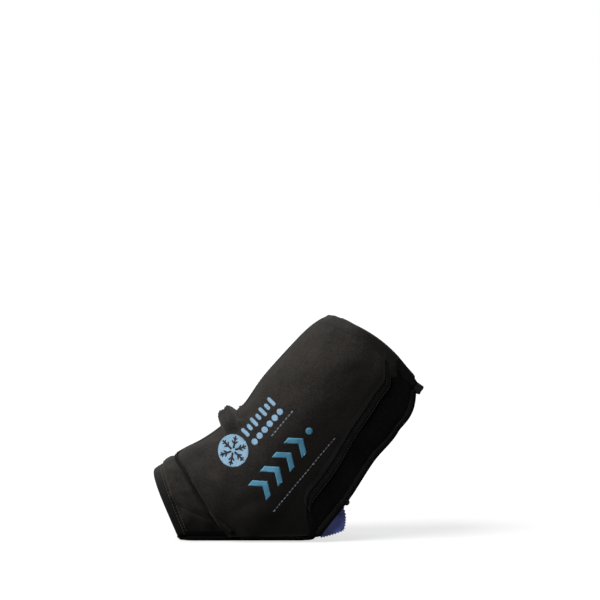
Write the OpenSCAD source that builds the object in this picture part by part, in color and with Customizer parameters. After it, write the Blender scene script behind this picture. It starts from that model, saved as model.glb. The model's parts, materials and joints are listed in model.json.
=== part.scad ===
// Cold compression wrap for a left foot and ankle.
// +X runs from the toes to the calf, -Y is the outer side of the ankle, +Z is up.
// The soft panels are plain closed shells, laid on ruled lines that fan round the ankle
// from the foot opening (station 0) to the collar (station 8).

/* [Panels] */
// Thickness of the outer fabric of every panel
outer_t = 1.6; // [1:0.2:2]
// Thickness of the foam inside the side flap
flap_foam_t = 3; // [2:0.2:4]
// Thickness of the foam inside the far panel
far_foam_t = 4; // [2:0.2:5]
// Thickness of the brushed lining
liner_t = 1.4; // [1:0.2:1.6]
// How far a hem or binding stands above its panel
hem_t = 1.3; // [1:0.1:1.6]
// Gap between two sewn layers
ply_gap = 0.15; // [0.1:0.05:0.2]
// Gap under a hem, patch or tape, which bridges the panel's facets
hem_gap = 0.45; // [0.3:0.05:0.6]

/* [Width across the ankle] */
// Outer face of the side flap, measured from the middle
flap_y = 50.6; // [49:0.1:51]
// Outer face of the far panel, measured from the middle
far_y = 50.7; // [49:0.1:51]
// Outer face of the strap where the flap covers it
strap_y = 42.4; // [41:0.1:42.6]
// Outer face of the rear wing inside the flap
wing_y = 34.8; // [33:0.1:35]
// Middle of the leg, a little towards the far side
leg_y = 6; // [5:0.5:7]

/* [Sole] */
// Thickness of the sole, three plies
sole_t = 5.4; // [5:0.1:6]
// Where the sole starts under the foot opening
sole_front = -94; // [-96:1:-90]
// Where the sole ends at the heel opening
sole_back = 24; // [20:1:25]
// Outer edge of the sole
sole_near = -42; // [-42:0.5:-40]
// Inner edge of the sole
sole_far = 47; // [44:0.5:48]

/* [Gel pack] */
// Thickness of the filled gel pack
pack_t = 7.4; // [6:0.2:7.4]
// Thickness of its welded rim
rim_t = 1.2; // [0.8:0.2:1.6]
// Thickness of its film
film_t = 0.8; // [0.6:0.1:1]
// Width of its welded rim
rim_w = 6; // [5:0.5:8]
// Pitch of the pinked teeth along the rim at the heel
tooth = 3.2; // [2.5:0.1:4]

/* [Grip fastener] */
// Thickness of the hook pads
hook_t = 0.9; // [0.7:0.1:1]
// Thickness of the loop patches
loop_t = 0.8; // [0.6:0.1:0.9]

/* [Hidden] */

// Stations, each [x, z]: along the instep and shin, and along the sole, heel and calf.
FRONT = [[-115, 58], [-92, 73], [-73, 83], [-56, 95], [-38, 112], [-21, 136], [1, 161], [19, 179], [35, 189]];
BACK = [[-93, 3], [-41, 3], [-14, 3], [10, 3], [26, 4], [50, 34], [72, 68], [93, 94], [108, 134]];
LAST = 8;
heel_low = 4;
heel_high = 5;
lean = [0.565, 0.825];      // up along the leg, square to the collar
collar_bulge = 5;           // the collar's edge bows up by this much in its middle
calf_out = 4.4;             // the calf edge bows out by this much in its last stretch
calf_way = [0.93, -0.36];   // the way it bows
wall_foot = sole_t + 0.4;   // the upright walls start just above the sole

// Side flap: round at the shin, then flat out to the calf.
flap_front_y = 4;           // the flap laps this far past the middle of the shin
round_share = 0.40;         // share of a ruled line that is round
round_a = 0.45;             // the same place on the flap's own 0 to 1 scale
flap_liner_d = outer_t + flap_foam_t + 2 * ply_gap;
pocket_y = 37.6;            // outer face of the pocket liner
ridge_a = 0.725;            // the ridge hem's place across the flap
front_gap = 9.8;            // depth of the far panel's front edge under the flap
strap_t = 3.2;              // fabric of the strap
far_step = 6.2;             // the far panel steps in by this much under the strap
far_foam_d = outer_t + ply_gap;
far_liner_d = far_foam_d + far_foam_t + ply_gap;
bow = 0.8;                  // power of the round cross-section

function mix(a, b, k) = a + (b - a) * k;
function clamp01(k) = min(1, max(0, k));
function ease(k) = let (c = clamp01(k)) c * c * (3 - 2 * c);
function at(list, s) =
    let (i = min(len(list) - 2, max(0, floor(s))))
    mix(list[i], list[i + 1], s - i);
// The line along the sole, heel and calf, with the calf's bow.
function back_at(s) =
    let (k = clamp01(s - LAST + 1))
    at(BACK, s) + calf_out * 4 * k * (1 - k) * calf_way;
function smooth_at(list, s) =
    let (
        n = len(list) - 1,
        i = min(n - 1, max(0, floor(s))),
        k = s - i,
        p1 = list[i],
        p2 = list[i + 1],
        t1 = i > 0 ? (p2 - list[i - 1]) / 2 : p2 - p1,
        t2 = i < n - 1 ? (list[i + 2] - p1) / 2 : p2 - p1
    )
    p1 * (1 + 2 * k) * (1 - k) * (1 - k) + t1 * k * (1 - k) * (1 - k)
    + p2 * k * k * (3 - 2 * k) + t2 * k * k * (k - 1);

// A point on the ruled line of station s, run millimetres from its front end.
function on_line(s, run, y, back) =
    let (
        f = smooth_at(FRONT, s),
        l = norm(back - f),
        q = run / l,
        up = collar_bulge * ease((s - 6) / 2) * 4 * q * (1 - q),
        p = f + (back - f) * q + lean * up
    )
    [p.x, y, p.y];

// The side flap's surface: a is 0 at the shin edge and 1 at the calf edge, d is the depth.
function flap(s, a, d) =
    let (
        b = back_at(s),
        l = norm(b - smooth_at(FRONT, s)),
        turn = 90 * min(1, a / round_a),
        flat = max(0, (a - round_a) / (1 - round_a)),
        r = round_share * l,
        run = r - (r - d) * cos(turn) + flat * (l - r),
        y = flap_front_y - (flap_front_y + flap_y - d) * sin(turn)
    )
    on_line(s, run, y, b);

// The pocket liner leaves the flap's foam behind the strap and stays flat behind the pack.
function pocket(s, a, d) =
    let (
        p = flap(s, a, flap_liner_d + d),
        flat_y = mix(flap_liner_d - flap_y, -pocket_y, ease((s - 1.3) / 0.6)) + d
    )
    [p.x, max(p.y, flat_y), p.z];

// Shared grid lines of the flap's layers: lane 0 is the shin edge, RIDGE_LANE is the ridge
// and LANES is the calf edge, drawn in to end past the round part.
RIDGE_LANE = 11;
LANES = 13;
function ridge_at(s) = mix(0.985, ridge_a, ease((s - 3.5) / 0.9));
function lane(s, j, end = 1) =
    let (
        a = j <= RIDGE_LANE
            ? ridge_at(s) * j / RIDGE_LANE
            : mix(ridge_at(s), 1, (j - RIDGE_LANE) / (LANES - RIDGE_LANE))
    )
    a < round_a ? a : round_a + (a - round_a) * (end - round_a) / (1 - round_a);

// The boot's surface: psi is 0 at the shin, 90 at the side, 180 at the calf or the sole.
// side is 1 for the far side and -1 for the near side.
function boot(s, psi, d, side) =
    let (
        low = back_at(s),
        b = [low.x, max(low.y, wall_foot)],
        l = norm(b - smooth_at(FRONT, s)),
        lead = mix(2, front_gap, ease(s / 0.9)) + d,
        calf = s > heel_high - 0.5 ? d : 0,
        r = (l - lead - calf) / 2,
        run = lead + r - r * sign(cos(psi)) * pow(abs(cos(psi)), bow),
        reach = side > 0 ? far_y - leg_y : leg_y + mix(strap_y, wing_y, ease((s - 2) / 3)),
        round_y = sign(sin(psi)) * pow(abs(sin(psi)), bow),
        flat_y = psi > 90 ? 1 - 0.1 * pow((psi - 90) / 90, 2) : round_y,
        y = mix(flat_y, round_y, ease((s - 4) / 1))
    )
    on_line(s, run, leg_y + side * (reach - d) * y, b);

// A closed sheet between two surfaces, each a function of u and v from 0 to 1.
module sheet(top, under, nu, nv, flip = false) {
    row = nv + 1;
    half = (nu + 1) * row;
    points = concat(
        [for (i = [0:nu]) for (j = [0:nv]) top(i / nu, j / nv)],
        [for (i = [0:nu]) for (j = [0:nv]) under(i / nu, j / nv)]
    );
    quads = concat(
        [for (i = [0:nu - 1]) for (j = [0:nv - 1])
            let (p = i * row + j) [p, p + row, p + row + 1, p + 1]],
        [for (i = [0:nu - 1]) for (j = [0:nv - 1])
            let (p = half + i * row + j) [p, p + 1, p + row + 1, p + row]],
        [for (i = [0:nu - 1]) let (p = i * row) [p, p + half, p + half + row, p + row]],
        [for (i = [0:nu - 1])
            let (p = i * row + nv) [p, p + row, p + half + row, p + half]],
        [for (j = [0:nv - 1]) [j, j + 1, j + 1 + half, j + half]],
        [for (j = [0:nv - 1])
            let (p = nu * row + j) [p, p + half, p + half + 1, p + 1]]
    );
    faces = [for (q = quads) each [[q[0], q[1], q[2]], [q[0], q[2], q[3]]]];
    polyhedron(points, flip ? [for (f = faces) [f[2], f[1], f[0]]] : faces, convexity = 6);
}

// A patch of the flap between stations s0 and s1 and between a0 and a1, from depth d0 to d1.
module flap_patch(s0, s1, a0, a1, d0, d1, nu, nv) {
    sheet(
        function (u, v) flap(mix(s0, s1, u), mix(a0, a1, v), d0),
        function (u, v) flap(mix(s0, s1, u), mix(a0, a1, v), d1),
        nu, nv
    );
}

// The same on the boot, between two angles.
module boot_patch(s0, s1, psi0, psi1, d0, d1, nu, nv, side) {
    sheet(
        function (u, v) boot(mix(s0, s1, u), mix(psi0, psi1, v), d0, side),
        function (u, v) boot(mix(s0, s1, u), mix(psi0, psi1, v), d1, side),
        nu, nv, side > 0
    );
}

// Far panel: it steps in under the strap and laps past the shin behind it.
function far_start(s) = mix(48, -24, ease((s - 1.2) / 1.0));
function far_depth(s) = far_step * (1 - ease((s - 1.3) / 0.7));
module far_layer(d0, d1) {
    sheet(
        function (u, v) let (s = LAST * u)
            boot(s, mix(far_start(s), 180, v), d0 + far_depth(s), 1),
        function (u, v) let (s = LAST * u)
            boot(s, mix(far_start(s), 180, v), d1 + far_depth(s), 1),
        20, 14, true
    );
}

module far_outer_panel() {
    color("#322e2c") far_layer(0, outer_t);
}

module far_foam() {
    color("#4a4a4a") far_layer(far_foam_d, far_foam_d + far_foam_t);
}

module far_liner() {
    color("#26262a") far_layer(far_liner_d, far_liner_d + liner_t);
}

// Tape over the seam where the far panel meets the rear wing.
module back_seam_tape() {
    color("#1c1c20")
    sheet(
        function (u, v) back_tape(u, v, -hem_t),
        function (u, v) back_tape(u, v, -hem_gap - 0.15),
        6, 4, true
    );
}
function back_tape(u, v, d) =
    let (psi = mix(166, 194, v), s = mix(heel_high + 0.1, LAST - 0.3, u))
    psi < 180 ? boot(s, psi, d, 1) : boot(s, 360 - psi, d, -1);

// Rear wing: runs on round the calf and lies inside the side flap.
wing_psi = 84;
wing_low = heel_high + 0.04;
module wing_layer(d0, d1) {
    boot_patch(wing_low, LAST, wing_psi, 179.4, d0, d1, 8, 9, -1);
}

module rear_wing_outer() {
    color("#15151a") wing_layer(0, outer_t);
}

module rear_wing_lining() {
    color("#26262a") wing_layer(outer_t + ply_gap, outer_t + ply_gap + 2.6);
}

module wing_edge_binding() {
    color("#1c1c20") boot_patch(wing_low, LAST, wing_psi - 6, wing_psi - 0.6, 0.2, 4, 8, 1, -1);
}

// Sole: three flat plies with round corners.
module sole_outline(inset) {
    r = 16;
    x0 = sole_front + inset + r;
    x1 = sole_back - inset - r;
    y0 = sole_near + inset + r;
    y1 = sole_far - inset - r;
    polygon([
        for (k = [0:3])
        for (i = [0:6])
            let (turn = 90 * k + 15 * i)
            [(k == 0 || k == 3 ? x1 : x0) + r * cos(turn), (k < 2 ? y1 : y0) + r * sin(turn)]
    ]);
}

module sole_outer() {
    color("#322e2c") linear_extrude(outer_t) sole_outline(0);
}

module sole_foam() {
    color("#4a4a4a")
    translate([0, 0, outer_t])
    linear_extrude(sole_t - outer_t - liner_t) sole_outline(2);
}

module sole_liner() {
    color("#26262a")
    translate([0, 0, sole_t - liner_t])
    linear_extrude(liner_t) sole_outline(1);
}

// Strap: from the near edge of the sole, over the instep, to the far side.
strap_back = 1.12;          // how far back it runs under the flap
strap_turn = 30;            // where its loose end starts on the far side
function strap_at(s, psi, d) = psi < 0 ? boot(s, -psi, d, -1) : boot(s, psi, d, 1);
module strap_layer(s0, s1, d0, d1, nu) {
    sheet(
        function (u, v) strap_at(mix(s0, s1, u), mix(-180, strap_turn, v), d0),
        function (u, v) strap_at(mix(s0, s1, u), mix(-180, strap_turn, v), d1),
        nu, 18, true
    );
}

module instep_strap() {
    color("#35302d") strap_layer(0, strap_back, 0, outer_t, 5);
}

module strap_lining() {
    color("#26262a") strap_layer(0, strap_back, outer_t + ply_gap, strap_t, 5);
}

// Hem round the foot opening, on the strap and on the far panel below it.
module foot_opening_hem() {
    color("#3c4048") {
        strap_layer(-0.02, 0.14, -hem_t, -hem_gap, 1);
        sheet(
            function (u, v) boot(0.14 * u, mix(96, 180, v), far_step - hem_t, 1),
            function (u, v) boot(0.14 * u, mix(96, 180, v), far_step - hem_gap, 1),
            1, 7, true
        );
    }
}

module far_collar_hem() {
    color("#3c4048") boot_patch(7.72, LAST, far_start(LAST), 180, -hem_t, -hem_gap, 1, 14, 1);
}

module far_heel_binding() {
    color("#3c4048") boot_patch(heel_low + 0.05, heel_high - 0.02, 168, 180, -hem_t, -hem_gap, 3, 1, 1);
}

// Grip fasteners and label.
module front_loop_patch() {
    color("#2c2c32") boot_patch(5.2, 7.5, -18, 2, -hem_gap - loop_t, -hem_gap, 6, 3, 1);
}

module strap_loop_patch() {
    color("#2c2c32")
    sheet(
        function (u, v) boot(mix(0.2, 0.95, u), mix(52, 92, v), far_step - hem_gap - loop_t, 1),
        function (u, v) boot(mix(0.2, 0.95, u), mix(52, 92, v), far_step - hem_gap, 1),
        3, 4, true
    );
}

module care_label() {
    label_d = far_liner_d + liner_t + 3 * hem_gap;
    color("white") boot_patch(6.6, 7.1, 118, 132, label_d, label_d + 0.5, 1, 2, 1);
}

// Side flap: the printed panel laps the rear panel at the ridge hem.
module flap_layer(s0, s1, j0, j1, d0, d1, nu) {
    sheet(
        function (u, v) let (s = mix(s0, s1, u)) flap(s, lane(s, mix(j0, j1, v)), d0),
        function (u, v) let (s = mix(s0, s1, u)) flap(s, lane(s, mix(j0, j1, v)), d1),
        nu, j1 - j0
    );
}

module side_panel() {
    color("#322e2c") flap_layer(1, LAST, 0, RIDGE_LANE, 0, outer_t, 14);
}

module rear_panel() {
    color("#0c0c0e") flap_layer(3.5, LAST, RIDGE_LANE, LANES, 0, outer_t, 9);
}

module ridge_hem() {
    color("#3c4048")
    sheet(
        function (u, v) ridge_strip(u, v, -hem_t - 0.1),
        function (u, v) ridge_strip(u, v, -hem_gap),
        8, 1
    );
}
function ridge_strip(u, v, d) =
    let (s = mix(4.25, 7.7, u))
    flap(s, ridge_at(s) + mix(-0.035, 0.035, v), d);

module flap_foam() {
    foam_d = outer_t + ply_gap;
    color("#4a4a4a") flap_layer(1, LAST, 0, LANES, foam_d, foam_d + flap_foam_t, 14);
}

// The pocket liner stops above the sole and short of the calf edge.
function liner_end(s) = mix(0.925, 0.97, clamp01(s - heel_low));
module pocket_liner() {
    color("#26262a")
    sheet(
        function (u, v) let (s = mix(1, LAST, u)) pocket(s, lane(s, LANES * v, liner_end(s)), 0),
        function (u, v) let (s = mix(1, LAST, u)) pocket(s, lane(s, LANES * v, liner_end(s)), liner_t),
        14, LANES
    );
}

// Bindings and hems on the flap's edges.
module front_edge_binding() {
    color("#1c1c20") flap_patch(1.16, 7.7, 0, 0.055, -hem_t, -hem_gap, 12, 1);
}

module diagonal_edge_binding() {
    color("#1c1c20") flap_layer(1, 1.12, 0, RIDGE_LANE - 1, -hem_t, -hem_gap, 1);
}

module bottom_hem() {
    color("#1c1c20") flap_patch(1, heel_low - 0.04, 0.935, 0.995, -hem_t, -hem_gap, 4, 1);
}

module near_collar_hem() {
    color("#3c4048") flap_layer(7.74, LAST, 0, LANES, -hem_t, -hem_gap, 1);
}

module heel_edge_binding() {
    color("#3c4048") flap_patch(heel_low + 0.02, heel_high, 0.95, 1, -hem_t, -hem_gap, 2, 1);
}

module pocket_mouth_binding() {
    color("#1c1c20") flap_patch(heel_high + 0.06, 7.7, 0.962, 1, -hem_t, -hem_gap, 5, 1);
}

// Two pleats of fabric bunched where the instep meets the shin.
function pleat_height(u, v) = pow(abs(sin(180 * u)), 0.7) * sin(180 * mix(0.08, 0.92, v));
module pleat(s0, s1, height) {
    sheet(
        function (u, v) flap(mix(s0, s1, u), mix(0.075, 0.3, v), -1 - height * pleat_height(u, v)),
        function (u, v) flap(mix(s0, s1, u), mix(0.075, 0.3, v), -0.7),
        5, 5
    );
}

module instep_pleats() {
    color("#322e2c") {
        pleat(3.02, 3.7, 9);
        pleat(3.74, 4.1, 4);
    }
}

module front_hook_strip() {
    hook_d = flap_liner_d + liner_t + 0.4;
    color("#141418") flap_patch(5.4, 7.4, 0.03, 0.17, hook_d, hook_d + hook_t, 6, 3);
}

// Folded webbing tab at the top of the calf edge.
module pull_tab() {
    color("#101014")
    translate([108.6, 3.2 - flap_y, 128.4])
    rotate([90, 0, 0])
    linear_extrude(2.6)
    polygon([[0.4, 5.8], [6, 2.6], [6.2, 0], [3, -5.4], [-0.4, -4.6]]);
}

// Gel pack: welded film round a gel core, lying flat between the foam and the pocket liner.
pack_mid = -41.8;
PACK = [
    [-20, 12], [23, 12], [29, 3], [47, 9], [50, 28], [84, 92], [90, 112],
    [14, 112], [3, 100], [-18, 72], [-34, 48]
];
PINK_FROM = 2;              // the rim is pinked along the two sides that follow this corner
module upright(t) {
    translate([0, pack_mid + t / 2, 0])
    rotate([90, 0, 0])
    linear_extrude(t) children();
}

function pinked(p, q) =
    let (
        n = floor(norm(q - p) / tooth),
        side = [(q - p).y, -(q - p).x] / norm(q - p)
    )
    [for (i = [0:2 * n - 1]) mix(p, q, i / (2 * n)) - side * (i % 2 == 1 ? 1.6 : 0)];

module pack_edge() {
    polygon([
        for (i = [0:len(PACK) - 1])
            let (p = PACK[i], q = PACK[(i + 1) % len(PACK)])
            each (i == PINK_FROM || i == PINK_FROM + 1 ? pinked(p, q) : [p])
    ]);
}

module pack_field(inset) {
    offset(delta = -inset) polygon(PACK);
}

module pack_film() {
    color("#323e87")
    difference() {
        upright(pack_t) pack_field(rim_w);
        upright(pack_t - 2 * film_t) pack_field(rim_w + film_t);
    }
}

module pack_gel() {
    color("#4a5cc0") upright(pack_t - 2 * film_t - 0.2) pack_field(rim_w + film_t + 0.1);
}

module pack_rim() {
    color("#323e87")
    upright(rim_t)
    difference() {
        pack_edge();
        pack_field(rim_w - 0.02);
    }
}

// Loose end of the strap, pressed onto the far panel.
end_low = 0.08;
end_high = 1.0;
module end_layer(d0, d1, psi0, psi1, nv) {
    boot_patch(end_low, end_high, psi0, psi1, d0, d1, 4, nv, 1);
}

module strap_end() {
    color("#35302d") end_layer(0, strap_t, strap_turn + 0.8, 90, 6);
}

module strap_hook_pad() {
    color("#141418")
    boot_patch(0.2, 0.9, 56, 88, strap_t + 0.3, strap_t + 0.3 + hook_t, 3, 4, 1);
}

module strap_end_binding() {
    color("#1c1c20") end_layer(0, strap_t, 90.4, 94, 1);
}

far_outer_panel();
far_foam();
far_liner();
back_seam_tape();
rear_wing_outer();
rear_wing_lining();
wing_edge_binding();
sole_outer();
sole_foam();
sole_liner();
instep_strap();
strap_lining();
foot_opening_hem();
far_collar_hem();
far_heel_binding();
front_loop_patch();
strap_loop_patch();
care_label();
side_panel();
rear_panel();
ridge_hem();
flap_foam();
pocket_liner();
front_edge_binding();
diagonal_edge_binding();
bottom_hem();
near_collar_hem();
heel_edge_binding();
pocket_mouth_binding();
instep_pleats();
front_hook_strip();
pull_tab();
pack_film();
pack_gel();
pack_rim();
strap_end();
strap_hook_pad();
strap_end_binding();
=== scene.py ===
import json
import math

import bpy
import numpy as np
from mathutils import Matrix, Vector, noise
from mathutils.bvhtree import BVHTree
from mathutils.geometry import delaunay_2d_cdt

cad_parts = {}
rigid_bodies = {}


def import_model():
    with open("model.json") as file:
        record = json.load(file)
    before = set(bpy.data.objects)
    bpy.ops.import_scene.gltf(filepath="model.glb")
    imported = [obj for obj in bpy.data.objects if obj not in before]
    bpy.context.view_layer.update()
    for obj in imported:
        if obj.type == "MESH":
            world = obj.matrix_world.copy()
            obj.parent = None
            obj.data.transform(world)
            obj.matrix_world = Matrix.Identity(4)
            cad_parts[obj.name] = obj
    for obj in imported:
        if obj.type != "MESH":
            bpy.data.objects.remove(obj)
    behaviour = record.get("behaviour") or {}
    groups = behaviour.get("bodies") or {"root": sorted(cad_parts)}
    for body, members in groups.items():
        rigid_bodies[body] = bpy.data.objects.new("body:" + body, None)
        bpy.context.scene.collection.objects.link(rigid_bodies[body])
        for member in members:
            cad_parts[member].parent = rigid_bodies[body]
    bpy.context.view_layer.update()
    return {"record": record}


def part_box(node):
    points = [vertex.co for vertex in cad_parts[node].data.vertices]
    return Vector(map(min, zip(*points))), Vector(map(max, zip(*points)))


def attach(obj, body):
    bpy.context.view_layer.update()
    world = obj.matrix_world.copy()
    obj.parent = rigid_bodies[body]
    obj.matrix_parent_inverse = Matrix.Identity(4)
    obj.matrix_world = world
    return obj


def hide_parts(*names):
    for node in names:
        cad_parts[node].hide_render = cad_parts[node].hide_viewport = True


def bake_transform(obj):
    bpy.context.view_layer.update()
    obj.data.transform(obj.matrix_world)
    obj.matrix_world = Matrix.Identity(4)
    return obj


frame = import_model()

MM = 0.001
SCENE = bpy.context.scene


# ---------------------------------------------------------------- camera, floor and light

FRAME_W = 0.504          # what the picture's 600 pixels span at the wrap, in metres
CAMERA_M = 2.6           # camera distance
ELEVATION = 2.0
SENSOR = 36.0
AIM_X, AIM_Z = 0.0105, 0.204       # what the camera looks at, on the wrap's near side
FLOOR_HALF = 40.0
FLOOR_SINK = 0.0006
FLOOR_TONE = 0.20
FLOOR_GLOW = 0.68        # keeps the floor pale where the camera sees it, without lighting the wrap
SKY_LIGHT = 0.30         # the sky's strength as a light; behind the wrap it shows white


def camera():
    target = Vector((AIM_X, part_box("side_panel")[0].y, AIM_Z))
    tilt = math.radians(ELEVATION)
    data = bpy.data.cameras.new("camera")
    data.sensor_width = SENSOR
    data.lens = SENSOR * CAMERA_M / FRAME_W
    data.clip_end = 50
    cam = bpy.data.objects.new("camera", data)
    back = Vector((0, -math.cos(tilt), math.sin(tilt)))
    cam.location = target + back * CAMERA_M
    cam.rotation_euler = (-back).to_track_quat("-Z", "Y").to_euler()
    SCENE.collection.objects.link(cam)
    SCENE.camera = cam


def sun(name, towards, strength, angle, colour=(1, 1, 1)):
    data = bpy.data.lights.new(name, "SUN")
    data.energy = strength
    data.angle = math.radians(angle)
    data.color = colour
    lamp = bpy.data.objects.new(name, data)
    lamp.rotation_euler = Vector(towards).to_track_quat("-Z", "Y").to_euler()
    SCENE.collection.objects.link(lamp)


def world():
    """White behind the wrap, and a dimmer sky to light it."""
    w = bpy.data.worlds.new("studio")
    w.use_nodes = True
    tree = w.node_tree
    back = tree.nodes["Background"]
    back.inputs["Color"].default_value = (1, 1, 1, 1)
    path = tree.nodes.new("ShaderNodeLightPath")
    level = tree.nodes.new("ShaderNodeMapRange")
    level.inputs["To Min"].default_value = SKY_LIGHT
    level.inputs["To Max"].default_value = 1.0
    tree.links.new(path.outputs["Is Camera Ray"], level.inputs["Value"])
    tree.links.new(level.outputs["Result"], back.inputs["Strength"])
    SCENE.world = w


def stage():
    mesh = bpy.data.meshes.new("floor")
    corners = [(x * FLOOR_HALF, y * FLOOR_HALF, 0) for x, y in ((-1, -1), (1, -1), (1, 1), (-1, 1))]
    mesh.from_pydata(corners, [], [(0, 1, 2, 3)])
    floor = bpy.data.objects.new("floor", mesh)
    floor.location.z = -FLOOR_SINK
    SCENE.collection.objects.link(floor)
    m = Nodes("floor")
    seen = m.add("ShaderNodeLightPath", "Is Camera Ray")
    mesh.materials.append(m.finish(
        Base_Color=(*[FLOOR_TONE] * 3, 1), Roughness=0.95, Specular_IOR_Level=0.1,
        Emission_Color=(1, 1, 1, 1), Emission_Strength=m.ramp(seen, 0, FLOOR_GLOW)))
    world()
    sun("key", (0.58, 0.46, -0.67), 6.6, 45, (1, 0.985, 0.96))
    sun("back", (-0.2, -0.6, -0.75), 1.4, 60, (0.96, 0.98, 1))
    SCENE.view_settings.view_transform = "Standard"


# ---------------------------------------------------------------- the wrap's surfaces, in mm

# The CAD's ruled lines, each [x, z]: along the instep and shin, and along sole, heel and calf.
FRONT = np.array([[-115, 58], [-92, 73], [-73, 83], [-56, 95], [-38, 112],
                  [-21, 136], [1, 161], [19, 179], [35, 189]], float)
BACK = np.array([[-93, 3], [-41, 3], [-14, 3], [10, 3], [26, 4],
                 [50, 34], [72, 68], [93, 94], [108, 134]], float)
LAST = 8.0
LEAN = np.array([0.565, 0.825])
COLLAR_BULGE = 5.0
COLLAR_CORNER = 2.4        # how far the collar's corner at the shin is rounded off
FLAP_BULGE = 9.6           # the near side stands higher at the collar, as it does on a leg
CALF_OUT = 4.4
CALF_WAY = np.array([0.93, -0.36])
HEEL_LOW, HEEL_HIGH = 4.0, 5.0
FLAP_FRONT_Y = 4.0
ROUND_SHARE, ROUND_A = 0.40, 0.45
RIDGE_A = 0.725
RIDGE_LEAN = 0.06
RIDGE_HOOK = 0.085          # how far the ridge turns in where it meets the collar's hem
LEG_Y = 6.0
FRONT_GAP = 9.8
FAR_STEP = 6.2
HEM = 1.3
BOW = 0.8
STRAP_TURN = 30.0
STRAP_BACK = 1.12

FLAP_Y = -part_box("side_panel")[0].y / MM
FAR_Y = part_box("far_outer_panel")[1].y / MM
STRAP_Y = -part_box("instep_strap")[0].y / MM
WING_Y = -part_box("rear_wing_outer")[0].y / MM
SOLE_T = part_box("sole_liner")[1].z / MM
POCKET_Y = -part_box("pocket_liner")[0].y / MM
OUTER_T, FLAP_FOAM_T, LINER_T = 1.6, 3.0, 1.4
FLAP_T = OUTER_T + FLAP_FOAM_T + 0.3
FAR_SHELL_T = 5.75         # outer fabric and foam of the far panel
FAR_T = 7.3
STRAP_T = 3.2
WING_T = 4.4
WALL_FOOT = SOLE_T + 0.4


def spread(*values):
    """Numbers and arrays as arrays of one shape."""
    return np.broadcast_arrays(*np.atleast_1d(*values))


def mix(a, b, k):
    return a + (b - a) * k


def ease(k):
    """A smooth step from 0 to 1."""
    c = np.clip(k, 0, 1)
    return c * c * (3 - 2 * c)


def bell(x):
    """1 at 0, and close to nothing beyond 2 either way."""
    return np.exp(-(x ** 2))


def along(table, s):
    """A straight-sided line through the stations."""
    knots = np.arange(len(table))
    return np.stack([np.interp(s, knots, table[:, 0]), np.interp(s, knots, table[:, 1])], -1)


def smooth_along(table, s):
    """A smooth line through the stations."""
    n = len(table) - 1
    i = np.clip(np.floor(s).astype(int), 0, n - 1)
    k = (s - i)[..., None]
    p1, p2 = table[i], table[i + 1]
    before = table[np.maximum(i - 1, 0)]
    after = table[np.minimum(i + 2, n)]
    t1 = np.where((i > 0)[..., None], (p2 - before) / 2, p2 - p1)
    t2 = np.where((i < n - 1)[..., None], (after - p1) / 2, p2 - p1)
    return (p1 * (1 + 2 * k) * (1 - k) ** 2 + t1 * k * (1 - k) ** 2
            + p2 * k * k * (3 - 2 * k) + t2 * k * k * (k - 1))


def back_line(s):
    """Sole, heel and calf: straight up to the top of the heel opening, then a smooth curve."""
    s = np.asarray(s, float)
    k = np.clip(s - 7, 0, 1)
    out = (CALF_OUT * (4 * k * (1 - k)) ** 1.6)[..., None] * CALF_WAY
    return mix(along(BACK, s), smooth_along(BACK, s), ease((s - HEEL_HIGH) / 0.25)[..., None]) + out


def on_line(s, run, y, back, bulge=COLLAR_BULGE):
    """Points this far along the line from the front to the back at a station."""
    f = smooth_along(FRONT, s)
    way = back - f
    length = np.linalg.norm(way, axis=-1)
    q = run / length
    up = bulge * ease((s - 6) / 2) * 4 * q * (1 - q)
    p = f + way * q[..., None] + LEAN * up[..., None]
    return np.stack([p[..., 0], y, p[..., 1]], -1)


def flap(s, a, d):
    """The side flap: a is 0 at the shin edge and 1 at the calf edge, d is the depth."""
    s, a, d = spread(s, a, d)
    b = back_line(s)
    length = np.linalg.norm(b - smooth_along(FRONT, s), axis=-1)
    turn = math.pi / 2 * np.minimum(1, a / ROUND_A)
    level = np.maximum(0, (a - ROUND_A) / (1 - ROUND_A))
    r = ROUND_SHARE * length
    run = r - (r - d) * np.cos(turn) + level * (length - r)
    y = FLAP_FRONT_Y - (FLAP_FRONT_Y + FLAP_Y - d) * np.sin(turn)
    p = on_line(s, run, y, b, FLAP_BULGE)
    corner = COLLAR_CORNER * (1 - ease(run / length / 0.07)) * ease((s - 7.5) / 0.5)
    p[..., 0] -= LEAN[0] * corner
    p[..., 2] -= LEAN[1] * corner
    return p


def pocket(s, a, d):
    """The pocket liner, which leaves the flap behind the strap."""
    s, a, d = spread(s, a, d)
    p = flap(s, a, FLAP_T + d)
    level = mix(FLAP_T - FLAP_Y, -POCKET_Y, ease((s - 1.3) / 0.6)) + d
    p[..., 1] = np.maximum(p[..., 1], level)
    return p


def boot(s, psi, d, side=1):
    """The boot: psi is 0 at the shin, 90 at the side, 180 at the calf or the sole."""
    s, psi, d = spread(s, psi, d)
    b = back_line(s)
    b[..., 1] = np.maximum(b[..., 1], WALL_FOOT)
    length = np.linalg.norm(b - smooth_along(FRONT, s), axis=-1)
    lead = mix(2, FRONT_GAP, ease(s / 0.9)) + d
    calf = np.where(s > HEEL_HIGH - 0.5, d, 0)
    r = (length - lead - calf) / 2
    c, n = np.cos(np.radians(psi)), np.sin(np.radians(psi))
    run = lead + r - r * np.sign(c) * np.abs(c) ** BOW
    near = LEG_Y + mix(STRAP_Y, WING_Y, ease((s - 2) / 3))
    reach = FAR_Y - LEG_Y if side > 0 else near
    round_y = np.sign(n) * np.abs(n) ** BOW
    flat_y = np.where(psi > 90, 1 - 0.1 * ((psi - 90) / 90) ** 2, round_y)
    y = mix(flat_y, round_y, ease(s - 4))
    return on_line(s, run, LEG_Y + side * (reach - d) * y, b)


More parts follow.
